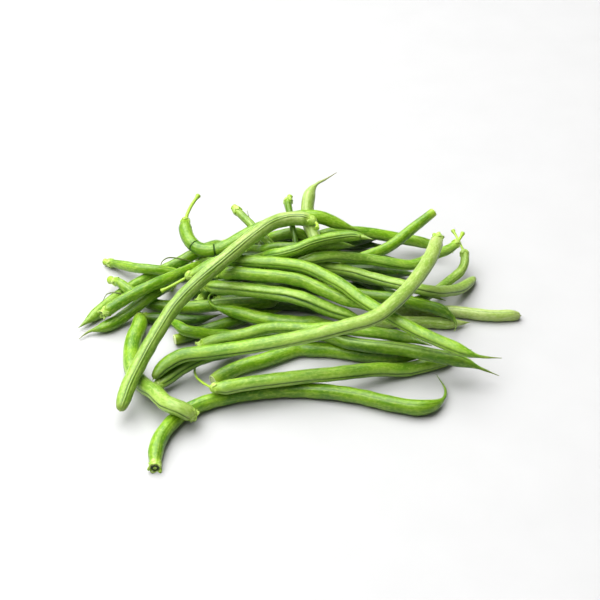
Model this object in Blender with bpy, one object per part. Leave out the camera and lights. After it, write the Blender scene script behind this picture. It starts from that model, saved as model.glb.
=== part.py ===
"""Green bean bundle: a loose heap of long, slender green beans lying on a flat surface.

Every bean grew in one piece, so every bean is one tapered tube: a thin stalk where it was picked,
the flared calyx, the shoulder, the pod, and the narrow curled beak at its blossom end.

A bean is given by a few points of its centre line, from stalk to beak, and by its width. A smooth
curve runs through the points. The beans are then eased apart until each one clears the floor and
its neighbours by a small gap, as beans that are pressed together slip sideways until they fit.
"""

from collections import namedtuple
from itertools import combinations

import bpy
import numpy as np

# ---------------------------------------------------------------- driving dimensions, in mm
MM = 0.001            # metres in one millimetre
GAP = 0.45            # clearance between the skins of two beans that touch
STALK_RADIUS = 1.15   # the stalk along its length
STALK_CUT = 0.5       # extra radius where the stalk was snapped off
CALYX_RADIUS = 2.0    # the small flared collar between stalk and pod
NECK_RADIUS = 1.5     # the pod just behind the calyx
BLUNT_NECK = 2.6      # the pod's end where the stalk is gone
BEAK_RADIUS = 0.55    # the thin beak at the blossom end
FLARE = 1.8           # length over which the calyx and the cut end flare

SAMPLES = 72          # points of a centre line while the beans are eased apart
EASING_ROUNDS = 120
EASING_STEP = 0.65    # share of an overlap that each of the two beans gives way by
SPREAD = (1, 2, 3, 2, 1)    # how a push on one point bends the bean around it
CLOSE = 8.0           # beans whose boxes are further apart than this never touch

RING_SPACING = 6.0    # average distance between the rings of the finished tube
END_CROWDING = 0.35   # how much closer the rings stand at the two ends
BEVEL_RESOLUTION = 2  # gives tubes with eight sides

# ---------------------------------------------------------------- the beans
# Lengths in mm. A stalk of 0 is a bean whose stalk is gone. The shoulder and the taper are the
# lengths over which the pod grows to its full width and narrows to its beak.
Bean = namedtuple("Bean", "name width route stalk shoulder taper beak tone")


def bean(name, width, route, stalk=0.0, shoulder=8, taper=14, beak=4, tone="mid"):
    return Bean(name, width, route, stalk, shoulder, taper, beak, tone)


# The beans at the bottom of the heap, which the others lie on.
UNDER = [
    bean("bean_under_1", 6.4, [(-56, 31, 3), (-28, 34, 3), (0, 36, 3), (30, 34, 3), (54, 29, 3)],
         tone="dark"),
    bean("bean_under_2", 6.6, [(-58, 47, 3), (-28, 46, 3), (2, 48, 3), (35, 49, 3), (60, 46, 3)],
         tone="dark"),
    bean("bean_under_3", 6.2, [(-50, 58, 3), (-22, 61, 3), (4, 62, 3), (30, 60, 3), (54, 57, 3)],
         tone="dark"),
    bean("bean_under_4", 6.4, [(-32, 75, 3), (-8, 73, 3), (18, 73, 3), (44, 70, 3)], tone="dark"),
    bean("bean_under_5", 5.8,
         [(-48, 25, 3), (-38, 31, 9), (-26, 38, 10), (-2, 50, 10), (20, 62, 10), (34, 70, 8),
          (44, 77, 3)],
         tone="dark"),
    bean("bean_under_6", 5.2,
         [(-20, 67, 9), (-8, 59, 14), (3, 52, 17), (14, 44, 14), (24, 37, 10), (36, 30, 8),
          (48, 23, 2)],
         tone="dark"),
    bean("bean_under_7", 6.2, [(-41, 27, 3), (-18, 23, 3), (4, 21, 3), (22, 15, 3)], tone="dark"),
    bean("bean_under_8", 6.2, [(-75, 13, 3), (-64, 11, 3), (-50, 10, 3), (-37, 15, 3)], tone="dark"),
]

FRONT = [
    bean("bean_front", 7.0,
         [(-61, -87, 2), (-61, -76, 3), (-57, -64, 4), (-48, -53, 4), (-32, -45, 4), (-2, -40, 4),
          (24, -44, 4), (42, -50, 4), (54, -52, 4), (62, -47, 3), (65, -39, 2), (62, -27, 1)],
         stalk=1.5, shoulder=10, taper=13, beak=18),
    bean("bean_front_stalk", 6.5,
         [(-48, -21, 3), (-47, -31, 5), (-44, -39, 8), (-37, -47, 11), (-23, -44, 11),
          (12, -37, 10), (34, -30, 7), (50, -25, 3), (65, -19, 3), (79, -10, 2)],
         stalk=29, shoulder=7),
    bean("bean_front_arch", 6.6,
         [(-39, -33, 3), (-27, -24, 3), (-16, -19, 3), (0, -11, 3), (12, -11, 3), (26, -15, 4),
          (41, -18, 5), (54, -19, 7), (64, -19, 7)],
         shoulder=4),
    bean("bean_front_tail", 6.3,
         [(0, -4, 4), (9, -8, 8), (25, -16, 10), (46, -23, 13), (60, -26, 12), (73, -28, 10),
          (82, -31, 8), (89, -33, 6)],
         shoulder=12, taper=12, beak=9, tone="dark"),
    bean("bean_front_stub", 6.4,
         [(-64, -38, 4), (-56, -31, 6), (-47, -26, 9), (-40, -21, 8), (-30, -14, 5), (-18, -7, 3)],
         stalk=1, shoulder=5, tone="dark"),
]

BACK = [
    bean("bean_back_long", 5.6,
         [(-19, 61, 14), (-8, 57, 18), (5, 57, 18), (18, 62, 17), (30, 65, 15), (40, 67, 12),
          (50, 68, 9), (62, 67, 7), (76, 60, 6)],
         shoulder=10),
    bean("bean_back_thin", 2.8,
         [(-5, 80, 26), (-6, 75, 26), (-5, 66, 26), (-4, 58, 25), (-2, 49, 20), (0, 37, 12)],
         stalk=3, shoulder=20, beak=3, tone="dark"),
    bean("bean_back_tail", 6.4,
         [(13, 29, 6), (9, 41, 15), (6, 53, 21), (4, 62, 23), (4, 72, 29), (7, 79, 33),
          (13, 81, 36), (18, 82, 39)],
         shoulder=10, taper=9, beak=11, tone="pale"),
    bean("bean_back_stub", 4.4, [(-33, 74, 24), (-18, 55, 19), (-11, 44, 16), (-6, 34, 14)],
         stalk=2, shoulder=24, tone="pale"),
    bean("bean_back_inner", 4.7,
         [(-27, 55, 12), (-15, 47, 18), (-6, 43, 22), (3, 40, 24), (14, 39, 25)],
         shoulder=10, tone="dark"),
    bean("bean_back_raised", 5.2,
         [(66, 72, 22), (55, 62, 19), (43, 51, 16), (30, 44, 15), (17, 37, 16)],
         shoulder=22),
    bean("bean_back_hook", 6.3,
         [(-51, 84, 24), (-54, 77, 23), (-56, 69, 22), (-56, 58, 21), (-52, 48, 20), (-46, 43, 20),
          (-38, 43, 21), (-23, 50, 26), (-6, 55, 30), (8, 57, 30), (18, 57, 26), (30, 56, 22)],
         stalk=19, shoulder=9, beak=3),
]

RIGHT = [
    bean("bean_right_low", 5.6, [(28, 7, 3), (44, 9, 3), (60, 9, 3), (70, 8, 3), (80, 10, 2)],
         shoulder=10, taper=10, beak=2, tone="pale"),
    bean("bean_right_end", 5.6,
         [(38, 16, 3), (50, 18, 3), (60, 18, 3), (73, 17, 3), (90, 14, 3), (105, 15, 2)],
         taper=5, beak=0.5, tone="pale"),
    bean("bean_right_stalk", 4.7,
         [(76, 68, 14), (79, 60, 12), (81, 52, 9), (79, 45, 7), (73, 38, 6), (62, 25, 7),
          (54, 17, 10), (45, 13, 10)],
         stalk=14, shoulder=16, beak=3),
    bean("bean_right_inner", 5.1,
         [(-18, 39, 15), (-9, 32, 18), (0, 28, 19), (16, 29, 17), (32, 27, 15), (50, 22, 14),
          (69, 19, 8)],
         tone="dark"),
    bean("bean_right_beak", 5.8,
         [(8, 18, 17), (20, 17, 15), (32, 15, 14), (44, 13, 14), (56, 11, 12), (66, 9, 10),
          (73, 5, 6), (72, 1, 4)],
         taper=10, beak=5, tone="dark"),
    bean("bean_right_upturned", 5.6,
         [(-14, 36, 22), (2, 27, 25), (18, 26, 22), (35, 22, 19), (48, 18, 18), (61, 16, 16),
          (68, 21, 12), (77, 31, 6), (86, 45, 2)],
         taper=12, beak=3),
]

TOP = [
    bean("bean_top_inner", 5.1,
         [(-18, 33, 20), (-12, 28, 26), (-4, 27, 30), (6, 29, 31), (16, 32, 31), (26, 34, 29)],
         taper=9, beak=2, tone="pale"),
    bean("bean_top_wave", 5.4,
         [(80, 60, 18), (77, 54, 17), (72, 49, 16), (65, 45, 16), (59, 39, 16), (52, 35, 17),
          (42, 33, 20), (32, 33, 22), (20, 29, 26), (9, 25, 29), (-9, 20, 28)],
         stalk=7, shoulder=14),
    bean("bean_top_cross", 5.4,
         [(-26, 33, 20), (-21, 27, 26), (-14, 24, 31), (-4, 22, 35), (6, 26, 37), (16, 30, 37),
          (26, 31, 37), (34, 27, 38)],
         taper=9, beak=3),
]

LEFT = [
    bean("bean_left_long", 5.6,
         [(-39, 72, 2), (-43, 63, 8), (-50, 57, 9), (-60, 53, 5), (-76, 42, 3), (-88, 28, 3),
          (-98, 13, 3), (-104, 6, 2)],
         taper=9, beak=0.5),
    bean("bean_left_thin", 5.1,
         [(-97, 58, 2), (-87, 51, 5), (-77, 44, 8), (-70, 42, 9), (-60, 43, 6), (-46, 39, 3)],
         stalk=3, shoulder=16),
    bean("bean_left_stub", 6.2,
         [(-92, 39, 5), (-86, 31, 9), (-78, 25, 6), (-69, 21, 4), (-52, 19, 4),
          (-32, 17, 8), (-19, 15, 10), (-10, 15, 10)],
         stalk=6, shoulder=16, taper=9, beak=1, tone="dark"),
    bean("bean_left_beak", 5.8,
         [(-63, 37, 3), (-65, 28, 9), (-69, 21, 11), (-76, 16, 8), (-83, 12, 4), (-92, 5, 3),
          (-99, 3, 2), (-103, -1, 1)],
         taper=9, beak=7),
    bean("bean_left_top", 5.6,
         [(-92, 8, 9), (-85, 12, 12), (-78, 15, 15), (-71, 18, 17), (-60, 29, 15), (-51, 41, 11),
          (-43, 47, 10), (-25, 52, 10)],
         shoulder=3),
]

MIDDLE = [
    bean("bean_mid_short", 5.6, [(-58, -4, 3), (-46, 1, 3), (-34, 7, 4), (-22, 12, 5), (-9, 15, 5)],
         beak=3, tone="dark"),
    bean("bean_mid_tip", 5.6,
         [(-5, -5, 6), (-13, -3, 4), (-33, -1, 3), (-44, -2, 5), (-52, -4, 8), (-57, 2, 7),
          (-61, 9, 4)],
         taper=20, beak=1.5),
    bean("bean_mid_curl", 6.5,
         [(21, 0, 5), (14, -1, 8), (4, -1, 10), (-15, 2, 10), (-26, 6, 10), (-36, 10, 10),
          (-42, 14, 10), (-43, 20, 10), (-39, 26, 9)],
         taper=14, beak=15),
    bean("bean_mid_wave", 5.4,
         [(-46, -11, 5), (-38, -10, 8), (-27, -9, 10), (-12, -6, 12), (8, -10, 14), (24, -13, 16),
          (44, -16, 15), (59, -24, 16)],
         shoulder=3),
    bean("bean_mid_groove", 7.0,
         [(-45, 19, 17), (-32, 13, 20), (-18, 8, 22), (-3, 3, 23), (8, 0, 21), (19, -3, 18),
          (34, -9, 15)],
         tone="pale"),
    bean("bean_mid_upper", 6.1,
         [(-39, 21, 23), (-31, 16, 27), (-22, 13, 28), (-10, 10, 29), (1, 8, 28), (12, 3, 26),
          (24, -2, 24), (36, -7, 20)]),
    bean("bean_long_cross", 5.8,
         [(-65, 16, 16), (-58, 18, 19), (-50, 20, 23), (-34, 22, 29), (-20, 19, 31), (-6, 16, 32),
          (5, 12, 32), (17, 3, 30), (30, -8, 28), (42, -17, 26), (54, -25, 24), (66, -31, 22),
          (78, -36, 20), (89, -35, 18)],
         stalk=14, shoulder=9, taper=12, beak=10),
]

# The three long beans that lie over all the others.
OUTER = [
    bean("bean_left_bent", 7.2,
         [(-47, -59, 6), (-51, -60, 9), (-56, -58, 10), (-65, -45, 8), (-74, -32, 5),
          (-77, -18, 4), (-77, -4, 4), (-75, 7, 5), (-77, 12, 7)],
         shoulder=4, taper=7, beak=1, tone="pale"),
    bean("bean_right_sweep", 6.5,
         [(65, 35, 33), (61, 20, 34), (56, 8, 34), (49, -5, 34), (41, -17, 34), (33, -25, 33),
          (20, -30, 32), (3, -33, 29), (-13, -33, 25), (-28, -32, 21), (-41, -31, 18),
          (-53, -30, 15), (-61, -33, 11), (-66, -39, 8)],
         taper=10, beak=1, tone="pale"),
    bean("bean_left_sweep", 7.0,
         [(8, 33, 40), (8, 37, 40), (4, 40, 40), (-3, 41, 40), (-12, 38, 40), (-22, 28, 39),
          (-34, 15, 36), (-48, 1, 31), (-57, -9, 26), (-64, -21, 21), (-70, -33, 16),
          (-75, -46, 12), (-78, -59, 8)],
         stalk=6, shoulder=6, taper=6, beak=0.5, tone="pale"),
]

BEANS = UNDER + FRONT + BACK + RIGHT + TOP + LEFT + MIDDLE + OUTER

# Base colour of each tone: the skin ranges from a pale yellow-green to a deep green.
TONES = {
    "pale": (0.36, 0.52, 0.13, 1.0),
    "mid": (0.22, 0.40, 0.05, 1.0),
    "dark": (0.12, 0.27, 0.03, 1.0),
}
SKIN_ROUGHNESS = 0.45


# ---------------------------------------------------------------- shape along one bean
def lengths_along(points):
    """Distance of each point from the first, along the line."""
    steps = np.linalg.norm(np.diff(points, axis=0), axis=1)
    return np.concatenate([[0.0], np.cumsum(steps)])


def resample(points, wanted):
    """The line's points at the wanted distances along it."""
    along = lengths_along(points)
    return np.column_stack([np.interp(wanted, along, column) for column in points.T])


def smooth_route(route, count, steps=24):
    """A centripetal Catmull-Rom curve through the route, as evenly spaced points."""
    points = np.array(route, float)
    ends = (2 * points[0] - points[1], 2 * points[-1] - points[-2])
    padded = np.vstack([ends[0], points, ends[1]])
    curve = []
    for a, b, c, d in zip(padded, padded[1:], padded[2:], padded[3:]):
        t_b = np.linalg.norm(b - a) ** 0.5
        t_c = t_b + np.linalg.norm(c - b) ** 0.5
        t_d = t_c + np.linalg.norm(d - c) ** 0.5
        for t in np.linspace(t_b, t_c, steps, endpoint=False):
            ab = a + (b - a) * t / t_b
            bc = b + (c - b) * (t - t_b) / (t_c - t_b)
            cd = c + (d - c) * (t - t_c) / (t_d - t_c)
            abc = ab + (bc - ab) * t / t_c
            bcd = bc + (cd - bc) * (t - t_b) / (t_d - t_b)
            curve.append(abc + (bcd - abc) * (t - t_b) / (t_c - t_b))
    curve.append(points[-1])
    curve = np.array(curve)
    return resample(curve, np.linspace(0, lengths_along(curve)[-1], count))


def ease(t):
    """Smooth step from 0 to 1."""
    t = np.clip(t, 0, 1)
    return t * t * (3 - 2 * t)


def radii_along(along, spec):
    """The bean's radius at each distance from its stalk end."""
    pod = spec.width / 2
    has_stalk = spec.stalk > 0.5
    neck = NECK_RADIUS if has_stalk else min(0.8 * pod, BLUNT_NECK)
    body = neck + (pod - neck) * ease((along - spec.stalk) / spec.shoulder)
    stalk = STALK_RADIUS + STALK_CUT * np.exp(-(along / FLARE) ** 2)
    radius = np.where(along < spec.stalk, stalk, body)
    if has_stalk:
        flare = np.exp(-((along - spec.stalk) / FLARE) ** 2)
        radius = np.maximum(radius, STALK_RADIUS + (CALYX_RADIUS - STALK_RADIUS) * flare)
    from_beak = along[-1] - along
    tip = BEAK_RADIUS + (pod - BEAK_RADIUS) * ease((from_beak - spec.beak) / spec.taper) ** 0.75
    return np.minimum(radius, tip)


# ---------------------------------------------------------------- easing the heap apart
def boxes_close(line, other):
    """Whether the boxes around two centre lines come within reach of each other."""
    gap_one_way = line.min(axis=0) - other.max(axis=0)
    gap_other_way = other.min(axis=0) - line.max(axis=0)
    return np.maximum(gap_one_way, gap_other_way).max() < CLOSE


def push_away(line, other, overlap):
    """How far each point of a line gives way to the point of another that it overlaps most."""
    worst = overlap.argmax(axis=1)
    depth = overlap[np.arange(len(line)), worst]
    away = line - other[worst]
    away /= np.linalg.norm(away, axis=1)[:, None] + 1e-9
    return away * np.maximum(depth, 0)[:, None] * EASING_STEP


def spread_out(push):
    """The pushes on one bean, spread over the points around them."""
    weights = np.array(SPREAD) / sum(SPREAD)
    margin = len(weights) // 2
    padded = np.pad(push, ((margin, margin), (0, 0)), mode="edge")
    return np.column_stack([np.convolve(column, weights, "valid") for column in padded.T])


def ease_apart(lines, radii):
    """Moves the beans until none overlaps another and none reaches into the floor."""
    for _ in range(EASING_ROUNDS):
        pushes = [np.zeros_like(line) for line in lines]
        for a, b in combinations(range(len(lines)), 2):
            if not boxes_close(lines[a], lines[b]):
                continue
            apart = np.linalg.norm(lines[a][:, None, :] - lines[b][None, :, :], axis=2)
            overlap = radii[a][:, None] + radii[b][None, :] + GAP - apart
            if overlap.max() > 0:
                pushes[a] += push_away(lines[a], lines[b], overlap)
                pushes[b] += push_away(lines[b], lines[a], overlap.T)
        for line, push, radius in zip(lines, pushes, radii):
            line += spread_out(push)
            line[:, 2] = np.maximum(line[:, 2], radius)


def make_heap(specs):
    """All centre lines and radii, moved so that the heap stands centred on the origin."""
    lines = [smooth_route(spec.route, SAMPLES) for spec in specs]
    radii = [radii_along(lengths_along(line), spec) for line, spec in zip(lines, specs)]
    ease_apart(lines, radii)
    low = np.min([(line - radius[:, None]).min(axis=0) for line, radius in zip(lines, radii)], axis=0)
    high = np.max([(line + radius[:, None]).max(axis=0) for line, radius in zip(lines, radii)], axis=0)
    centre = np.array([(low[0] + high[0]) / 2, (low[1] + high[1]) / 2, 0.0])
    return [(line - centre, radius) for line, radius in zip(lines, radii)]


# ---------------------------------------------------------------- Blender objects
def skin_material(tone, colour):
    material = bpy.data.materials.new("bean_skin_" + tone)
    material.use_nodes = True
    shader = material.node_tree.nodes["Principled BSDF"]
    shader.inputs["Base Color"].default_value = colour
    shader.inputs["Roughness"].default_value = SKIN_ROUGHNESS
    shader.inputs["Metallic"].default_value = 0.0
    return material


def ring_places(length):
    """Distances of the tube's rings along a bean, closer together at both ends."""
    count = round(length / RING_SPACING) + 4
    even = np.linspace(0, 1, count)
    return length * (even - END_CROWDING * np.sin(2 * np.pi * even) / (2 * np.pi))


def make_tube(spec, line, radii, material, collection):
    """One bean as a curve with a round bevel, its radius set at every point."""
    along = lengths_along(line)
    places = ring_places(along[-1])
    points = resample(line, places)
    point_radii = np.interp(places, along, radii)

    curve = bpy.data.curves.new(spec.name, "CURVE")
    curve.dimensions = "3D"
    curve.bevel_depth = MM
    curve.bevel_resolution = BEVEL_RESOLUTION
    curve.use_fill_caps = True
    spline = curve.splines.new("POLY")
    spline.points.add(len(points) - 1)
    for point, place, radius in zip(spline.points, points, point_radii):
        point.co = (*(place * MM), 1.0)
        point.radius = radius
    curve.materials.append(material)
    tube = bpy.data.objects.new(spec.name, curve)
    collection.objects.link(tube)


def main():
    for old in list(bpy.data.objects):
        bpy.data.objects.remove(old)
    collection = bpy.data.collections.new("green_bean_bundle")
    bpy.context.scene.collection.children.link(collection)
    materials = {tone: skin_material(tone, colour) for tone, colour in TONES.items()}
    for spec, (line, radii) in zip(BEANS, make_heap(BEANS)):
        make_tube(spec, line, radii, materials[spec.tone], collection)


main()
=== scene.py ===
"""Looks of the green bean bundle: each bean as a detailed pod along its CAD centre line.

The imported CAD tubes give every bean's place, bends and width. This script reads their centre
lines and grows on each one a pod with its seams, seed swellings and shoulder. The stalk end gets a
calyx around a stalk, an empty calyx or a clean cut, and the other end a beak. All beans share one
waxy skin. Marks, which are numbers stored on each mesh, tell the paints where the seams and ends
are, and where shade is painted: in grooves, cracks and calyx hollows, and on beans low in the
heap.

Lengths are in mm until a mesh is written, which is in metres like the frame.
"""

from collections import namedtuple
import math

import bmesh
import bpy
import numpy as np
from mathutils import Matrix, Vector

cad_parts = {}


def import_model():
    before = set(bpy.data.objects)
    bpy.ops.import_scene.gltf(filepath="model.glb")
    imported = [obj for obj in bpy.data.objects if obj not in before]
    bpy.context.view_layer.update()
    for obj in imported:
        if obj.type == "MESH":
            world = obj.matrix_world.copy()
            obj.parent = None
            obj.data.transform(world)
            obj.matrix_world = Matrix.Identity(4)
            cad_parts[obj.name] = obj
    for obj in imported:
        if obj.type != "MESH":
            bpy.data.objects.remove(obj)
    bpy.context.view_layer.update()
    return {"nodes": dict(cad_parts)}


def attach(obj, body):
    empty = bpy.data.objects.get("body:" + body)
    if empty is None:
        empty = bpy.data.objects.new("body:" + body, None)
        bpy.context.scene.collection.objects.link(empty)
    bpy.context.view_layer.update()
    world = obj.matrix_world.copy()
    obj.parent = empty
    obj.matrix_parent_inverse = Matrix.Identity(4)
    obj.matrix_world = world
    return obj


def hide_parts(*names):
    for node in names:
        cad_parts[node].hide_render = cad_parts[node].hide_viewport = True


MM = 0.001

# ---------------------------------------------------------------- camera and light, in metres
CAMERA_TARGET = (-0.0005, 0.012, 0.015)
CAMERA_ELEVATION = 38.0     # degrees above the floor
CAMERA_DISTANCE = 0.70
CAMERA_LENS = 90.0          # mm
WORLD_STRENGTH = 0.015
FLOOR_SIZE = 6.0
# Soft lamps, all turned to the heap: name, place, size and power. The first one throws the
# shadows, the second lights the floor further out and the third lifts the front a little.
SOFTBOXES = (
    ("softbox_top", (-0.60, 0.30, 1.50), (2.6, 2.0), 92.0),
    ("softbox_ceiling", (0.0, 0.0, 4.0), (14.0, 14.0), 110.0),
    ("softbox_front", (-0.5, -1.2, 1.5), (1.0, 1.0), 2.5),
)

# ---------------------------------------------------------------- reading the CAD tubes
WELD = 1e-6                      # metres between corners that are one corner
RIM_ANGLE = math.radians(60)     # only the edges around a tube's two ends are this sharp

# ---------------------------------------------------------------- the pod, in mm
AROUND = 40             # points around a pod
SEAM_CROWDING = 0.65    # how much closer together they stand at the two seams
POD_STEP = 0.9          # between two rings of the pod
END_STEP = 0.3          # and near its two ends, where the shape is finer
FINE_PAST_CALYX = 2.0   # the finer steps reach this far past the calyx
FINE_AT_BEAK = 3.0      # and begin again this far before the beak
OVALITY = 0.035         # a pod is this share higher along its seams than across them
STEM_CAP = (6, 0.25)    # rings and depth of the cap that rounds off a bean's stalk end
BEAK_CAP = (3, 0.15)    # and its beak
CAP_MIDDLE = 0.02       # what is left of the ring's size in the middle of a cap

# The belly seam is one of three kinds: how far its grooves lie from its middle, their half width
# and their depth. A double seam has a thin rib between two grooves.
SEAMS = {
    "double": (0.50, 0.20, 0.17),
    "wide": (0.0, 0.55, 0.30),
    "fine": (0.0, 0.26, 0.18),
}
SEAM_WANDER = 0.25      # how far a seam strays sideways along the bean
SEAM_UNEVENNESS = 0.35  # how much its depth varies
SEAM_LEAST = 0.45       # seams are gone where the radius is less than this share of the pod's
SEAM_RISE = 0.4         # and reach their full depth this much above it
LIP_WIDTH = 0.80        # the soft swelling on either side of a seam
LIP_HEIGHT = 0.035
# Painted shade darkens the back seam's groove and the cracks, as it does the belly seam's grooves.
BACK_SEAM_WIDTH = 0.22  # the seam along the bean's back is one shallow groove
BACK_SEAM_DEPTH = 0.08
BACK_SEAM_SHADE = 0.5   # and this share as dark as the belly seam
CRACK_WIDTH = 0.30      # a bean that was bent sharply has cracks across it
CRACK_DEPTH = 0.5
CRACK_SHADE = 2.5       # how dark a crack is next to a seam
CRACK_RINGS = 6         # extra rings on either side of a crack

SEED_PITCH = 10.5       # between two seeds
SEED_SCATTER = 0.3      # how unevenly they follow each other
SEED_SWELLING = 0.030   # how far a seed pushes the pod's sides out, as a share of its radius
SEEDS_AT_STALK = (4, 8)     # seeds show from this far past the stalk, and fully after this length
SEEDS_AT_BEAK = (6, 10)     # and the same before the beak
WAVINESS = 0.022        # slow random change of the pod's radius
WAVE_LENGTH = 17.0
WAVE_SAMPLES = 400      # points of a wave before it is smoothed
WAVE_WINDOW = 25        # how many of them are averaged

STALK_NECK = 2.0        # least radius of the pod where a stalk enters it
NECK_STEP = 0.4         # and how much wider than the stalk it is at least
CUT_NECK = 0.85         # the end of a cut bean, as a share of its pod's radius
JOINT_START = 1.4       # the stalk begins to widen into the pod this far before its own end
JOINT_LENGTH = 1.8
STALK_FLARE = 1.6       # length of the flare at the stalk's cut end
FLARE_RADIUS = 0.45     # and how much wider the stalk is there
BEAK_ROOT = 0.75        # radius where the beak leaves the pod
BEAK_TIP = 0.16         # radius at its very end
BEAK_BLEND = 1.0        # how far into the pod the beak goes on widening
BLUNT_BEAK = 2          # with a beak shorter than this the pod ends in a blunt, rounded tip
TAPER_FULLNESS = 0.75   # the lower, the longer a pod stays full before it narrows to its beak
STEM_TINT = 5           # how far past the stalk the yellow-green of the stem reaches
BEAK_TINT = 5           # how far before the beak its dry colour starts

CALYX_START = 1.2       # a calyx begins this far before the end of the stalk
CALYX_SKIRT = 1.7       # how far it reaches over the pod's shoulder
CALYX_LOBES = 5
LOBE_LENGTH = 1.6
LOBE_POINT = 1.5        # the higher, the more pointed the lobes are
LOBE_CURL = 0.42        # how far the tips of the lobes stand off the pod
CALYX_STANDOFF = 0.28   # and the rest of the calyx
# Rings of the calyx, from under its lobes back to its start: share of the way to the tips of the
# lobes, distance off the pod and how light it is, darker where the lobes' tips meet the pod as
# painted shade. STALK_RING closes it around a stalk.
SKIRT_RINGS = ((1.0, -0.05, 0.6), (1.04, LOBE_CURL * 0.6, 0.8), (0.95, LOBE_CURL, 0.9),
               (0.7, CALYX_STANDOFF, 0.8), (0.4, CALYX_STANDOFF, 0.9),
               (0.15, CALYX_STANDOFF, 1.0))
STALK_RING = (0.0, 0.02, 1.0)

CUP_NECK = 0.66         # the end of a bean without a stalk, as a share of its pod's radius
CUP_RIM = 1.1           # how far the calyx of a bean without a stalk stands past the pod's end
CUP_TILT = 0.6          # how much lower its rim is on the side that faces the viewer
CUP_FLARE = 0.55        # how much wider it gets towards its rim
CUP_LOBES = (0.55, 0.9)     # its height and flare between two lobes, and how much a lobe adds
SCAR_RADIUS = 0.75      # the stub of stalk in the middle of that cup
# Rings of the cup, over its rim and down inside, then of the scar in it: share of the rim's
# height, share of the flare or of the scar's radius, and how light it is, which falls towards
# almost black down in the hollow as painted shade.
CUP_RINGS = ((0.4, 0.5, 1.0), (0.85, 1.2, 1.0), (1.0, 1.0, 1.1), (0.8, -0.1, 0.8),
             (0.4, -0.9, 0.3), (0.3, -1.4, 0.05))
SCAR_RINGS = ((0.35, 1.0, 0.1), (0.7, 0.9, 0.8), (0.8, 0.6, 0.9), (0.75, 0.1, 0.5))
# Rings of a clean cut: share of the radius, how far it stands out and how light it is.
CUT_RINGS = ((0.90, -0.30, 0.8), (1.00, 0.10, 1.0), (0.94, 0.32, 1.0), (0.76, 0.38, 0.9),
             (0.68, 0.24, 0.35), (0.56, 0.30, 0.8), (0.36, 0.34, 0.9), (0.26, 0.24, 0.4),
             (0.16, 0.40, 1.0), (0.02, 0.42, 0.6))

# ---------------------------------------------------------------- the beans
# Low shades are partly painted shade: beans under or inside the heap, and ends that go under other
# beans, are made darker than their own green.
# shade is how light the skin is at the stalk end and at the beak end: 0 is deep green, 1 pale.
# stem says how the stalk end looks: a stalk with its calyx, an empty calyx cup or a clean cut.
# stalk is the stalk's length and girth its radius. The pod widens to its full width over the
# length shoulder, and narrows over the length taper to a thin tip of the length beak.
# roll turns the belly seam: at 0 it faces the viewer, at 90 it lies on the right hand of someone
# who walks along the bean from stalk to beak. seam is its kind and groove how deep it is pressed.
# dry is how dry the beak is, and cracks are distances from the stalk end.
Look = namedtuple("Look", "name shade stem stalk girth shoulder taper beak "
                          "roll seam groove dry cracks")


def look(name, shade=(0.5, 0.5), stem="cup", stalk=0.0, girth=0.8, shoulder=8, taper=14, beak=4,
         roll=150, seam="fine", groove=0.7, dry=0.4, cracks=()):
    return Look("bean_" + name, shade, stem, stalk, girth, shoulder, taper, beak, roll, seam,
                groove, dry, cracks)


# Painted shade: the hidden beans under the heap get the darkest, almost black green.
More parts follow.
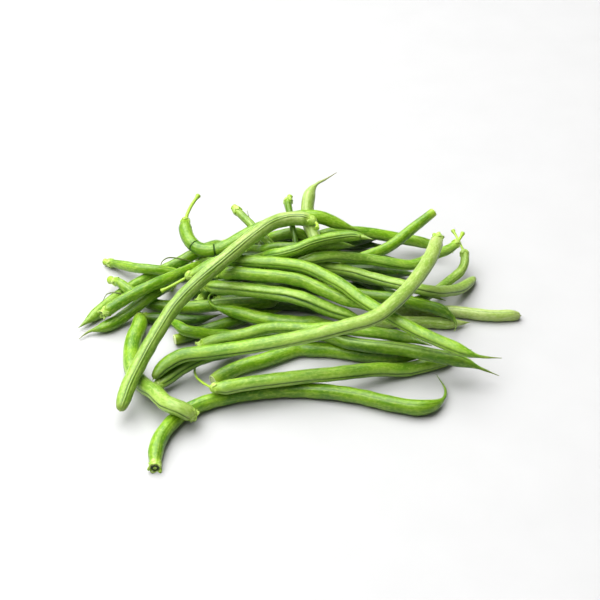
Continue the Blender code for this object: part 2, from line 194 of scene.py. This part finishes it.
UNDER_HEAP_SHADE = (0.05, 0.05)     # the shade of the beans at the bottom of the heap
LOOKS = [look("under_" + str(number), UNDER_HEAP_SHADE) for number in range(1, 9)] + [
    look("front", (0.50, 0.35), shoulder=10, taper=13, beak=18, roll=160),
    look("front_stalk", (0.60, 0.52), stem="stalk", stalk=29, girth=0.55, shoulder=7, roll=35,
         groove=1.0, dry=0.2),
    look("front_arch", (0.55, 0.30), stem="cut", shoulder=4, roll=60, groove=0.5),
    look("front_tail", (0.30, 0.40), shoulder=12, taper=12, beak=9, roll=-35, dry=0.8),
    look("front_stub", (0.22, 0.15), shoulder=5, roll=15, groove=1.0),
    look("back_long", (0.55, 0.45), shoulder=10, roll=60),
    look("back_thin", (0.25, 0.20), stem="stalk", stalk=3, girth=1.05, shoulder=20, beak=3),
    look("back_tail", (0.75, 0.85), shoulder=10, taper=9, beak=11, dry=1.0),
    look("back_stub", (0.75, 0.50), stem="stalk", stalk=2, girth=1.3, shoulder=24),
    look("back_inner", (0.30, 0.30), shoulder=10),
    look("back_raised", (0.45, 0.45), stem="cut", shoulder=22, roll=80),
    look("back_hook", (0.35, 0.55), stem="stalk", stalk=19, girth=0.85, shoulder=7, beak=3,
         roll=-120, cracks=(40, 51)),
    look("right_low", (0.85, 0.95), shoulder=10, taper=10, beak=2),
    look("right_end", (0.95, 1.00), taper=6, beak=0.5),
    look("right_stalk", (0.75, 0.65), stem="stalk", stalk=14, girth=0.6, shoulder=16, beak=3),
    look("right_inner", (0.50, 0.60)),
    look("right_beak", (0.25, 0.30), taper=10, beak=5),
    look("right_upturned", (0.50, 0.85), taper=18, beak=1, roll=10, groove=1.0, dry=0.3),
    look("top_inner", (0.60, 0.60), taper=9, beak=2),
    look("top_wave", (0.55, 0.60), stem="stalk", stalk=7, girth=0.7, shoulder=14, roll=-30),
    look("top_cross", (0.50, 0.60), taper=9, beak=3, roll=10, seam="double", groove=1.0),
    look("left_long", (0.45, 0.60), taper=10, beak=2.5, roll=60),
    look("left_thin", (0.60, 0.45), stem="stalk", stalk=3, girth=1.25, shoulder=16),
    look("left_stub", (0.60, 0.35), stem="stalk", stalk=6, girth=1.6, shoulder=16, taper=9,
         beak=1),
    look("left_beak", (0.35, 0.45), taper=9, beak=7, dry=0.9),
    look("left_top", (0.50, 0.50), shoulder=3),
    look("mid_short", (0.15, 0.30), stem="cut", beak=3),
    look("mid_tip", (0.35, 0.50), taper=20, beak=1.5),
    look("mid_curl", (0.60, 0.45), taper=14, beak=15, dry=0.2),
    look("mid_wave", (0.60, 0.50), shoulder=3, roll=40, groove=0.6),
    look("mid_groove", (0.60, 0.60), roll=12, seam="wide", groove=1.0),
    look("mid_upper", (0.55, 0.55), roll=160),
    look("long_cross", (0.58, 0.48), stem="stalk", stalk=14, girth=0.7, shoulder=9, taper=12,
         beak=10, roll=35, groove=0.9, dry=0.8),
    look("left_bent", (0.75, 0.40), shoulder=4, taper=7, beak=1, roll=-50, groove=1.2),
    look("right_sweep", (1.00, 0.35), shoulder=6, taper=12, beak=1, roll=-40, groove=1.1),
    look("left_sweep", (0.95, 0.60), stem="stalk", stalk=6, girth=0.7, shoulder=6, taper=9,
         beak=0.5, roll=4, seam="double", groove=1.1),
]


# Dry threads that still cling to a bean: route points from the bean outwards.
WISPS = {
    "bean_back_hook": [(-13, 62, 20), (-19, 63, 20), (-24, 67, 20), (-27, 78, 20)],
    "bean_left_long": [(-52, 53, 6), (-58, 52, 9), (-65, 52, 10), (-68, 48, 10), (-68, 43, 8)],
    "bean_left_stub": [(-83, 24, 8), (-88, 24, 10), (-92, 23, 10), (-94, 20, 8)],
}
WISP_THICKNESS = 1.0
WISP_THINNING = 0.7     # the share of it that is gone at the wisp's end
WISP_SPAN = 6           # rings between two route points
WISP_SIDES = 8
WISP_TILT = (0.3, 0.2, 1.0)     # any direction that no wisp runs along
WISP_DRYNESS = 0.45
WISP_SHADE = 0.1


# ---------------------------------------------------------------- lines and easing
def ease(t):
    """Smooth step from 0 to 1."""
    t = np.clip(t, 0, 1)
    return t * t * (3 - 2 * t)


def bump(distance, width):
    """A bell of height 1 and the given half width."""
    return np.exp(-(distance / width) ** 2)


def fade_in(distance, start, length):
    """From 0 at the start to 1 when the length is covered."""
    return ease((distance - start) / length)


def unit(vectors):
    return vectors / np.linalg.norm(vectors, axis=-1, keepdims=True)


def lengths_along(points):
    steps = np.linalg.norm(np.diff(points, axis=0), axis=1)
    return np.concatenate([[0.0], np.cumsum(steps)])


def smooth_line(points, per_span=16):
    """A centripetal Catmull-Rom curve through the points."""
    padded = np.vstack([2 * points[0] - points[1], points, 2 * points[-1] - points[-2]])
    curve = []
    for a, b, c, d in zip(padded, padded[1:], padded[2:], padded[3:]):
        t_b = np.linalg.norm(b - a) ** 0.5
        t_c = t_b + np.linalg.norm(c - b) ** 0.5
        t_d = t_c + np.linalg.norm(d - c) ** 0.5
        for t in np.linspace(t_b, t_c, per_span, endpoint=False):
            ab = a + (b - a) * t / t_b
            bc = b + (c - b) * (t - t_b) / (t_c - t_b)
            cd = c + (d - c) * (t - t_c) / (t_d - t_c)
            abc = ab + (bc - ab) * t / t_c
            bcd = bc + (cd - bc) * (t - t_b) / (t_d - t_b)
            curve.append(abc + (bcd - abc) * (t - t_b) / (t_c - t_b))
    curve.append(points[-1])
    return np.array(curve)


def at_places(line, places):
    """The line's points at the given distances along it."""
    along = lengths_along(line)
    return np.column_stack([np.interp(places, along, column) for column in line.T])


# ---------------------------------------------------------------- the CAD tube of one bean
def rings_of(node):
    """The rings of corners that a CAD tube is made of, from one end to the other."""
    tube = bmesh.new()
    tube.from_mesh(node.data)
    bmesh.ops.remove_doubles(tube, verts=tube.verts, dist=WELD)
    rims = [edge for edge in tube.edges if edge.calc_face_angle(0) > RIM_ANGLE]
    ring = set(rims[0].verts)
    for _ in rims:
        touching = [edge for edge in rims if ring & set(edge.verts)]
        ring = ring.union(*(edge.verts for edge in touching))
    rings = []
    seen = set()
    while ring:
        rings.append(np.array([vert.co for vert in ring]) / MM)
        seen |= ring
        ring = {edge.other_vert(vert) for vert in ring for edge in vert.link_edges} - seen
    tube.free()
    return rings


def read_tube(node):
    """A bean's smooth centre line from stalk to beak, and the radius of its pod."""
    rings = rings_of(node)
    centres = np.array([ring.mean(axis=0) for ring in rings])
    radii = [np.linalg.norm(ring - centre, axis=1).mean() for ring, centre in zip(rings, centres)]
    if radii[0] < radii[-1]:      # the beak is the thinner end
        centres = centres[::-1]
    return smooth_line(centres), max(radii)


# ---------------------------------------------------------------- shape along a pod
def stations(length, spec):
    """Distances of a bean's rings from its stalk end, close together at ends and cracks."""
    fine_start = spec.stalk + CALYX_SKIRT + FINE_PAST_CALYX
    fine_end = length - spec.beak - FINE_AT_BEAK
    start = np.arange(0, fine_start, END_STEP)
    middle = np.arange(fine_start, fine_end, POD_STEP)
    end = np.linspace(fine_end, length, round((length - fine_end) / END_STEP))
    around_crack = END_STEP / 2 * np.arange(-CRACK_RINGS, CRACK_RINGS + 1)
    at_cracks = [crack + around_crack for crack in spec.cracks]
    return np.unique(np.concatenate([start, middle, end, *at_cracks]).round(3))


def waves(places, chance):
    """A slow random wave along the bean, about between -1 and 1."""
    knots = np.arange(-WAVE_LENGTH, places[-1] + 2 * WAVE_LENGTH, WAVE_LENGTH / 2)
    heights = chance.uniform(-1, 1, len(knots))
    fine = np.linspace(knots[0], knots[-1], WAVE_SAMPLES)
    rough = np.interp(fine, knots, heights)
    window = np.hanning(WAVE_WINDOW)
    smooth = np.convolve(rough, window / window.sum(), "same")
    return np.interp(places, fine, smooth)


def neck_radius(spec, pod):
    """Radius of the pod's own stalk end, before it widens over its shoulder."""
    if spec.stem == "stalk":
        return max(STALK_NECK, spec.girth + NECK_STEP)
    if spec.stem == "cut":
        return CUT_NECK * pod
    return CUP_NECK * pod


def radii_along(places, spec, pod, chance):
    """The bean's radius at each place."""
    neck = neck_radius(spec, pod)
    body = neck + (pod - neck) * ease((places - spec.stalk) / spec.shoulder)
    radius = body * (1 + WAVINESS * waves(places, chance))
    if spec.stem == "stalk":
        stalk = spec.girth + FLARE_RADIUS * bump(places, STALK_FLARE)
        joint = ease((places - spec.stalk + JOINT_START) / JOINT_LENGTH)
        radius = stalk + (radius - stalk) * joint
    from_tip = places[-1] - places
    widening = ease(from_tip / (spec.beak + BEAK_BLEND))
    beak = BEAK_TIP + (BEAK_ROOT - BEAK_TIP) * widening
    share = np.clip((from_tip - spec.beak) / spec.taper, 0, 1)
    if spec.beak < BLUNT_BEAK:
        taper = np.sqrt(share * (2 - share))
    else:
        taper = ease(share) ** TAPER_FULLNESS
    return np.minimum(radius, beak + (radius - beak) * taper)


def frames_along(line, spec, toward_viewer):
    """Unit vectors along the bean, out of its belly seam and across it, at each ring."""
    tangents = unit(np.gradient(line, axis=0))
    middle = len(line) // 2
    start = tangents[middle]
    facing = unit(toward_viewer - start * (toward_viewer @ start))
    roll = math.radians(spec.roll)
    seam = math.cos(roll) * facing + math.sin(roll) * np.cross(start, facing)
    seams = np.zeros_like(line)
    for way in (range(middle, len(line)), range(middle, -1, -1)):
        out = seam
        for index in way:
            tangent = tangents[index]
            out = unit(out - tangent * (out @ tangent))
            seams[index] = out
    return tangents, seams, np.cross(tangents, seams)


# ---------------------------------------------------------------- surfaces
class Surface:
    """Grids of points that become one mesh, with the marks that the skin is painted by."""

    MARKS = ("along", "side_a", "side_b", "groove", "lip", "stem", "tail", "lot", "shade")

    def __init__(self):
        self.points = []
        self.faces = []
        self.materials = []
        self.marks = {mark: [] for mark in self.MARKS}
        self.count = 0

    def add_grid(self, grid, material, **marks):
        """Adds rings of points as a closed skin. A mark is a number for each ring or point."""
        rings, around = grid.shape[:2]
        first = self.count
        row, column = np.meshgrid(np.arange(rings - 1), np.arange(around), indexing="ij")
        following = (column + 1) % around
        corners = (row * around + column, row * around + following,
                   (row + 1) * around + following, (row + 1) * around + column)
        quads = first + np.stack(corners, axis=-1).reshape(-1, 4)
        self.faces += quads.tolist()
        self.faces.append(list(range(first + around - 1, first - 1, -1)))
        last = first + (rings - 1) * around
        self.faces.append(list(range(last, last + around)))
        self.materials += [material] * (len(quads) + 2)
        self.points.append(grid.reshape(-1, 3))
        for mark in self.MARKS:
            value = np.asarray(marks.get(mark, 0.0), float)
            if value.ndim == 1:
                value = value[:, None]
            self.marks[mark].append(np.broadcast_to(value, (rings, around)).ravel())
        self.count += rings * around

    def make_object(self, name, materials):
        points = np.vstack(self.points) * MM
        points[:, 2] = np.maximum(points[:, 2], 0)      # nothing sinks into the surface below
        mesh = bpy.data.meshes.new(name)
        mesh.from_pydata(points.tolist(), [], self.faces)
        for material in materials:
            mesh.materials.append(material)
        mesh.polygons.foreach_set("material_index", self.materials)
        mesh.polygons.foreach_set("use_smooth", [True] * len(self.faces))
        for names, attribute in ((self.MARKS[:3], "skin"), (self.MARKS[3:6], "marks"),
                                 (self.MARKS[6:], "ends")):
            values = np.column_stack([np.concatenate(self.marks[mark]) for mark in names])
            layer = mesh.attributes.new(attribute, "FLOAT_VECTOR", "POINT")
            layer.data.foreach_set("vector", values.ravel())
        mesh.update()
        made = bpy.data.objects.new(name, mesh)
        bpy.context.scene.collection.objects.link(made)
        return made


def angles_around():
    """Angles from the belly seam, closer together at the belly and the back."""
    even = np.linspace(0, 2 * math.pi, AROUND, endpoint=False)
    return even - SEAM_CROWDING * np.sin(2 * even) / 2


def section_offsets(places, radius, angle, spec, seeds, pod, chance):
    """How far the skin stands out from a round section, and its groove and lip marks."""
    offset, width, depth = SEAMS[spec.seam]
    from_seam = np.arctan2(np.sin(angle), np.cos(angle))[None, :]
    arc = radius[:, None] * from_seam + SEAM_WANDER * waves(places, chance)[:, None]
    back_arc = radius[:, None] * (math.pi - np.abs(from_seam))
    full = ease((radius / pod - SEAM_LEAST) / SEAM_RISE)[:, None]
    pressed = spec.groove * full * (1 + SEAM_UNEVENNESS * waves(places, chance)[:, None])
    # The groove mark says how deep the grooves are and where shade is painted into them.
    groove = bump(np.abs(arc) - offset, width) * pressed
    if offset:
        lip = bump(arc, width) * pressed
    else:
        lip = bump(np.abs(arc) - width - LIP_WIDTH, LIP_WIDTH) * pressed
    back = bump(back_arc, BACK_SEAM_WIDTH) * full
    offsets = LIP_HEIGHT * lip - depth * groove - BACK_SEAM_DEPTH * back
    offsets += radius[:, None] * OVALITY * np.cos(2 * angle)[None, :] * full
    offsets += radius[:, None] * SEED_SWELLING * seeds[:, None] * np.sin(angle)[None, :] ** 2
    return offsets, groove + BACK_SEAM_SHADE * back, lip


def close_end(ring, outward, steps, depth):
    """Rings that round off one end of a grid, from its last ring in to its middle."""
    centre = ring.mean(axis=0)
    cap = []
    for turn in np.linspace(0, math.pi / 2, steps + 1)[1:]:
        shrunk = (ring - centre) * max(math.cos(turn), CAP_MIDDLE)
        cap.append(centre + shrunk + outward * depth * math.sin(turn))
    return cap


PodShape = namedtuple("PodShape", "places centres tangents seams sides radius")


def add_pod(surface, line, spec, pod, toward_viewer, chance, lot):
    """The bean itself, from the cut of its stalk to the tip of its beak."""
    places = stations(lengths_along(line)[-1], spec)
    from_tip = places[-1] - places
    centres = at_places(line, places)
    tangents, seams, sides = frames_along(centres, spec, toward_viewer)
    radius = radii_along(places, spec, pod, chance)
    first_seed = chance.random()
    scatter = SEED_SCATTER * waves(places, chance)
    seeds = np.cos(2 * math.pi * (places / SEED_PITCH + first_seed + scatter))
    seeds = seeds * (fade_in(places - spec.stalk, *SEEDS_AT_STALK)
                     * fade_in(from_tip - spec.beak, *SEEDS_AT_BEAK))
    angle = angles_around()
    offsets, groove, lip = section_offsets(places, radius, angle, spec, seeds, pod, chance)
    # Cracks are pressed in and get painted shade.
    for crack in spec.cracks:
        ring = bump(places - crack, CRACK_WIDTH)[:, None]
        offsets = offsets - CRACK_DEPTH * ring
        groove = groove + CRACK_SHADE * ring
    out = radius[:, None] + offsets
    grid = (centres[:, None, :]
            + (out * np.cos(angle))[:, :, None] * seams[:, None, :]
            + (out * np.sin(angle))[:, :, None] * sides[:, None, :])
    start = close_end(grid[0], -tangents[0], *STEM_CAP)
    end = close_end(grid[-1], tangents[-1], *BEAK_CAP)
    grid = np.vstack([np.array(start[::-1]), grid, np.array(end)])

    def padded(values):
        """The marks of all rings: those of the caps repeat the first and the last ring's."""
        width = ((len(start), len(end)),) + ((0, 0),) * (values.ndim - 1)
        return np.pad(values, width, mode="edge")

    stem = 1 - ease((places - spec.stalk) / STEM_TINT)
    tail = (1 - ease(from_tip / (spec.beak + BEAK_TINT))) * spec.dry
    surface.add_grid(
        grid, 0,
        shade=padded(np.interp(places, places[[0, -1]], spec.shade)),
        along=padded(places),
        side_a=padded(radius[:, None] * np.cos(angle)[None, :]),
        side_b=padded(radius[:, None] * np.sin(angle)[None, :]),
        groove=padded(groove), lip=padded(lip), stem=padded(stem), tail=padded(tail), lot=lot,
    )
    return PodShape(places, centres, tangents, seams, sides, radius)


def ring_around(shape, place, out, angle):
    """A ring of points around the bean, each at its own place along it and distance out."""
    def at_place(rows):
        return np.column_stack([np.interp(place, shape.places, column) for column in rows.T])

    out = np.broadcast_to(out, angle.shape)
    return (at_place(shape.centres) + (out * np.cos(angle))[:, None] * at_place(shape.seams)
            + (out * np.sin(angle))[:, None] * at_place(shape.sides))


def cup_rings(shape, lobes, toward_viewer, angle):
    """Rings of an empty calyx and its scar, each with how light it is: painted shade in the
    hollow.
    """
    across = np.outer(np.cos(angle), shape.seams[0]) + np.outer(np.sin(angle), shape.sides[0])
    facing = across @ toward_viewer
    outward = -shape.tangents[0] * (1 - CUP_TILT * facing)[:, None]
    petals = CUP_LOBES[0] + CUP_LOBES[1] * lobes
    for rise, flare, shine in CUP_RINGS:
        spread = np.where(flare > 0, petals, 1.0) * flare * CUP_FLARE
        ring = ring_around(shape, 0.0, shape.radius[0] + spread, angle)
        yield ring + outward * (rise * CUP_RIM * petals)[:, None], shine
    for rise, wide, shine in SCAR_RINGS:
        ring = ring_around(shape, 0.0, SCAR_RADIUS * wide, angle)
        yield ring - shape.tangents[0] * rise * CUP_RIM, shine


def add_calyx(surface, shape, spec, toward_viewer, chance, lot):
    """The collar of lobes over the pod's shoulder. Without a stalk it ends in an open cup."""
    angle = np.linspace(0, 2 * math.pi, AROUND, endpoint=False)
    phase = chance.uniform(0, 2 * math.pi)
    lobes = np.abs(np.cos(CALYX_LOBES * angle / 2 + phase)) ** LOBE_POINT
    tips = spec.stalk + CALYX_SKIRT + LOBE_LENGTH * (lobes - 0.5)
    if spec.stem == "stalk":
        begin = max(spec.stalk - CALYX_START, 0.0)
        skirt = (*SKIRT_RINGS, STALK_RING)
    else:
        begin = 0.0
        skirt = SKIRT_RINGS
    rings = []
    light = []
    for share, lift, shine in skirt:
        place = begin + share * (tips - begin)
        out = np.interp(place, shape.places, shape.radius) + lift
        rings.append(ring_around(shape, place, out, angle))
        light.append(shine)
    if spec.stem == "cup":
        for ring, shine in cup_rings(shape, lobes, toward_viewer, angle):
            rings.append(ring)
            light.append(shine)
    surface.add_grid(np.array(rings)[::-1], 1, lip=np.array(light)[::-1], lot=lot)


def add_cut(surface, shape, lot):
    """The pale disc where a bean was cut through, with rings and a dot in its middle."""
    angle = np.linspace(0, 2 * math.pi, AROUND, endpoint=False)
    rings = []
    light = []
    for share, rise, shine in CUT_RINGS:
        ring = ring_around(shape, 0.0, shape.radius[0] * share, angle)
        rings.append(ring - shape.tangents[0] * rise)
        light.append(shine)
    surface.add_grid(np.array(rings), 1, lip=np.array(light), groove=1.0, lot=lot)


def add_wisp(surface, route, lot):
    """A dry thread that thins towards its end."""
    line = smooth_line(np.array(route, float), WISP_SPAN)
    tangents = unit(np.gradient(line, axis=0))
    across = unit(np.cross(tangents, WISP_TILT))
    upward = np.cross(tangents, across)
    angle = np.linspace(0, 2 * math.pi, WISP_SIDES, endpoint=False)
    thick = WISP_THICKNESS * (1 - WISP_THINNING * np.linspace(0, 1, len(line))) / 2
    ring = (np.cos(angle)[None, :, None] * across[:, None, :]
            + np.sin(angle)[None, :, None] * upward[:, None, :])
    grid = line[:, None, :] + thick[:, None, None] * ring
    surface.add_grid(grid, 0, along=lengths_along(line), tail=WISP_DRYNESS, lot=lot,
                     shade=WISP_SHADE)


# ---------------------------------------------------------------- materials
class Paint:
    """A node material under construction."""

    def __init__(self, name):
        self.material = bpy.data.materials.new(name)
        self.material.use_nodes = True
        self.tree = self.material.node_tree
        self.shader = self.tree.nodes["Principled BSDF"]

    def node(self, kind, inputs=(), **settings):
        """Adds a node, sets its settings and fills its sockets, given by name or number."""
        made = self.tree.nodes.new(kind)
        for setting, value in settings.items():
            setattr(made, setting, value)
        for socket, value in dict(inputs).items():
            if isinstance(value, bpy.types.NodeSocket):
                self.tree.links.new(value, made.inputs[socket])
            else:
                made.inputs[socket].default_value = value
        return made

    def stored(self, name):
        """A vector that is stored on the mesh."""
        return self.node("ShaderNodeAttribute", attribute_name=name).outputs["Vector"]

    def numbers(self, name):
        """The three numbers of such a vector."""
        return tuple(self.node("ShaderNodeSeparateXYZ", {0: self.stored(name)}).outputs)

    def noise(self, place, scale, stretch=(1, 1, 1), detail=3.0):
        stretched = self.node("ShaderNodeVectorMath", {0: place, 1: stretch}, operation="MULTIPLY")
        return self.node("ShaderNodeTexNoise", {
            "Vector": stretched.outputs[0], "Scale": scale, "Detail": detail}).outputs[0]

    def math(self, operation, first, second=0.0, clamp=False):
        return self.node("ShaderNodeMath", {0: first, 1: second}, operation=operation,
                         use_clamp=clamp).outputs[0]

    def mix(self, amount, first, second):
        """Blends two colours by an amount from 0 to 1."""
        made = self.node("ShaderNodeMix", {0: amount, 6: first, 7: second}, data_type="RGBA")
        return made.outputs[2]

    def ramp(self, amount, colours):
        """Blends evenly spaced colours by an amount from 0 to 1."""
        made = self.node("ShaderNodeValToRGB", {0: amount})
        stops = made.color_ramp.elements
        for number in range(1, len(colours) - 1):
            stops.new(number / (len(colours) - 1))
        for stop, colour in zip(stops, colours):
            stop.color = colour
        return made.outputs[0]

    def spread(self, value, low, high, to_low=0.0, to_high=1.0):
        """Maps low..high to a new range and clamps it."""
        return self.node("ShaderNodeMapRange", {
            "Value": value, "From Min": low, "From Max": high,
            "To Min": to_low, "To Max": to_high}).outputs[0]

    def link(self, value, socket):
        self.tree.links.new(value, self.shader.inputs[socket])

    def relief(self, height, strength, distance):
        """Bumps the surface by a pattern. The distance is in metres."""
        bumped = self.node("ShaderNodeBump", {
            "Height": height, "Strength": strength, "Distance": distance})
        self.link(bumped.outputs[0], "Normal")


# Linear colours of a deep green, a fresh green and a pale dull bean: its body, its lighter
# streaks and its deeper patches. A bean's shade blends between the three. The deep green is
# almost black: it is painted shade for beans low in or under the heap.
BODY_COLOURS = ((0.015, 0.058, 0.001, 1), (0.185, 0.375, 0.004, 1), (0.400, 0.515, 0.140, 1))
LIGHT_COLOURS = ((0.050, 0.135, 0.003, 1), (0.360, 0.525, 0.070, 1), (0.530, 0.630, 0.280, 1))
DEEP_COLOURS = ((0.007, 0.032, 0.001, 1), (0.075, 0.220, 0.002, 1), (0.240, 0.380, 0.040, 1))
# Painted shade in the grooves of the seams and in the cracks: an almost black green.
GROOVE_SHADE_COLOUR = (0.025, 0.080, 0.002, 1)
LIP_COLOUR = (0.420, 0.620, 0.130, 1)
STEM_COLOUR = (0.380, 0.570, 0.040, 1)
TAIL_COLOUR = (0.200, 0.210, 0.070, 1)
SPECK_COLOUR = (0.300, 0.120, 0.030, 1)
# Painted shade down in a calyx cup's hollow, and the cut disc's own darker rings.
HOLLOW_SHADE_AND_CUT_RING_COLOUR = (0.020, 0.045, 0.004, 1)
CALYX_COLOURS = ((0.270, 0.460, 0.025, 1), (0.500, 0.680, 0.160, 1))
CUT_COLOUR = (0.640, 0.740, 0.330, 1)
FLOOR_COLOURS = ((0.45, 0.45, 0.45, 1), (0.48, 0.48, 0.48, 1))

# Noise patterns: scale, stretch along and across the bean, and detail. The skin's coordinates are
# in mm along and across the bean, those of the calyx and the floor in metres.
CLOUDS = (0.09, (1, 1.5, 1.5), 2)
STREAKS = (1.3, (0.10, 1, 1), 4)
MOTTLE = (1.15, (0.5, 1, 1), 5)
SPECKS = (0.9, (1, 1, 1), 1)
CALYX_GRAIN = (900.0, (1, 1, 1), 3)
FLOOR_GRAIN = (40.0, (1, 1, 1), 3)
LOT_SHIFT = 500.0       # moves every bean to a part of the skin's patterns of its own


def skin_paint():
    """Waxy skin: long streaks, fine mottling, painted shade in the seams, yellow-green stem, dull
    beak.
    """
    paint = Paint("bean_skin")
    groove, lip, stem = paint.numbers("marks")
    tail, lot, shade = paint.numbers("ends")
    shift = paint.node("ShaderNodeCombineXYZ", {0: paint.math("MULTIPLY", lot, LOT_SHIFT)})
    shifted = paint.node("ShaderNodeVectorMath", {0: paint.stored("skin"), 1: shift.outputs[0]},
                         operation="ADD").outputs[0]
    clouds, streaks, mottle, specks = [paint.noise(shifted, *pattern)
                                       for pattern in (CLOUDS, STREAKS, MOTTLE, SPECKS)]
    # The shade ramps give each bean its own tone and, at low values, painted shade for beans deep
    # in the heap and for ends that go under other beans.
    body, light, deep = [paint.ramp(shade, colours)
                         for colours in (BODY_COLOURS, LIGHT_COLOURS, DEEP_COLOURS)]
    # A layer fades in between two values of its pattern, up to a strength.
    layers = (
        (clouds, 0.42, 0.68, 1.0, deep),
        (streaks, 0.48, 0.72, 0.50, light),
        (mottle, 0.51, 0.66, 0.50, light),
        (mottle, 0.47, 0.34, 0.55, deep),
    )
    colour = body
    for pattern, start, full, strength, tint in layers:
        colour = paint.mix(paint.spread(pattern, start, full, 0, strength), colour, tint)
    # The groove mark paints shade into the seams' grooves and the cracks; the lip mark lightens
    # the seams' lips.
    marked = ((lip, 0.35, LIP_COLOUR), (groove, 0.95, GROOVE_SHADE_COLOUR), (stem, 0.75, STEM_COLOUR))
    for mark, strength, tint in marked:
        colour = paint.mix(paint.math("MULTIPLY", mark, strength, clamp=True), colour, tint)
    colour = paint.mix(tail, colour, TAIL_COLOUR)
    colour = paint.mix(paint.spread(specks, 0.78, 0.84, 0, 0.6), colour, SPECK_COLOUR)
    paint.link(colour, "Base Color")

    paint.link(paint.spread(streaks, 0.3, 0.7, 0.30, 0.44), "Roughness")
    height = paint.math("ADD", paint.math("MULTIPLY", streaks, 0.7),
                        paint.math("MULTIPLY", mottle, 0.5))
    paint.relief(height, strength=0.6, distance=0.14 * MM)
    paint.shader.inputs["IOR"].default_value = 1.50
    paint.shader.inputs["Specular IOR Level"].default_value = 0.50
    paint.shader.inputs["Specular Tint"].default_value = (0.95, 1.0, 0.85, 1)
    paint.shader.inputs["Subsurface Weight"].default_value = 0.12
    paint.shader.inputs["Subsurface Radius"].default_value = (0.6, 1.0, 0.2)
    paint.shader.inputs["Subsurface Scale"].default_value = 1.2 * MM
    return paint.material


def calyx_paint():
    """Bright yellow-green lobes, with painted shade darkening to almost black in the cup's hollow.
    """
    paint = Paint("calyx")
    place = paint.node("ShaderNodeTexCoord").outputs["Object"]
    cut, light, _ = paint.numbers("marks")
    fine = paint.noise(place, *CALYX_GRAIN)
    green, bright = CALYX_COLOURS
    colour = paint.mix(paint.spread(fine, 0.35, 0.65), green, bright)
    colour = paint.mix(cut, colour, CUT_COLOUR)
    # Low lightness paints shade, almost black, into a calyx cup's hollow; on a cut it draws the
    # disc's own darker rings.
    colour = paint.mix(paint.spread(light, 0.1, 0.8), HOLLOW_SHADE_AND_CUT_RING_COLOUR, colour)
    paint.link(colour, "Base Color")
    paint.relief(fine, strength=0.4, distance=0.1 * MM)
    paint.shader.inputs["Roughness"].default_value = 0.5
    return paint.material


def floor_paint():
    paint = Paint("pale_floor")
    place = paint.node("ShaderNodeTexCoord").outputs["Object"]
    grain = paint.noise(place, *FLOOR_GRAIN)
    paint.link(paint.mix(grain, *FLOOR_COLOURS), "Base Color")
    paint.shader.inputs["Roughness"].default_value = 0.6
    return paint.material


# ---------------------------------------------------------------- the scene
def camera_place():
    """Where the camera stands, and the direction from the heap to it."""
    elevation = math.radians(CAMERA_ELEVATION)
    away = Vector((0, -math.cos(elevation), math.sin(elevation)))
    return Vector(CAMERA_TARGET) + away * CAMERA_DISTANCE, away


def add_camera():
    place, away = camera_place()
    data = bpy.data.cameras.new("camera")
    data.lens = CAMERA_LENS
    data.sensor_width = 36.0
    camera = bpy.data.objects.new("camera", data)
    camera.location = place
    camera.rotation_euler = away.to_track_quat("Z", "Y").to_euler()
    bpy.context.scene.collection.objects.link(camera)
    bpy.context.scene.camera = camera


def add_softbox(name, place, size, power):
    data = bpy.data.lights.new(name, "AREA")
    data.shape = "RECTANGLE"
    data.size, data.size_y = size
    data.energy = power
    light = bpy.data.objects.new(name, data)
    light.location = place
    away = Vector(place) - Vector(CAMERA_TARGET)
    light.rotation_euler = away.to_track_quat("Z", "Y").to_euler()
    bpy.context.scene.collection.objects.link(light)


def add_studio():
    scene = bpy.context.scene
    scene.view_settings.view_transform = "Standard"
    world = bpy.data.worlds.new("studio")
    world.use_nodes = True
    background = world.node_tree.nodes["Background"]
    background.inputs["Color"].default_value = (1, 1, 1, 1)
    background.inputs["Strength"].default_value = WORLD_STRENGTH
    scene.world = world
    for softbox in SOFTBOXES:
        add_softbox(*softbox)
    bpy.ops.mesh.primitive_grid_add(x_subdivisions=8, y_subdivisions=8, size=FLOOR_SIZE)
    floor = bpy.context.object
    floor.name = "pale_floor"
    floor.data.materials.append(floor_paint())


def make_bean(node, spec, chance, materials, toward_viewer):
    """The visible bean over one CAD tube."""
    lot = chance.random()
    line, pod = read_tube(node)
    surface = Surface()
    shape = add_pod(surface, line, spec, pod, toward_viewer, chance, lot)
    if spec.stem == "cut":
        add_cut(surface, shape, lot)
    else:
        add_calyx(surface, shape, spec, toward_viewer, chance, lot)
    if spec.name in WISPS:
        add_wisp(surface, WISPS[spec.name], lot)
    return surface.make_object(spec.name + "_pod", materials)


def main():
    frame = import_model()
    add_camera()
    add_studio()
    toward_viewer = np.array(camera_place()[1])
    materials = [skin_paint(), calyx_paint()]
    for number, spec in enumerate(LOOKS):
        chance = np.random.default_rng(number)
        piece = make_bean(frame["nodes"][spec.name], spec, chance, materials, toward_viewer)
        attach(piece, "root")
        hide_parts(spec.name)
    bpy.context.view_layer.update()


main()
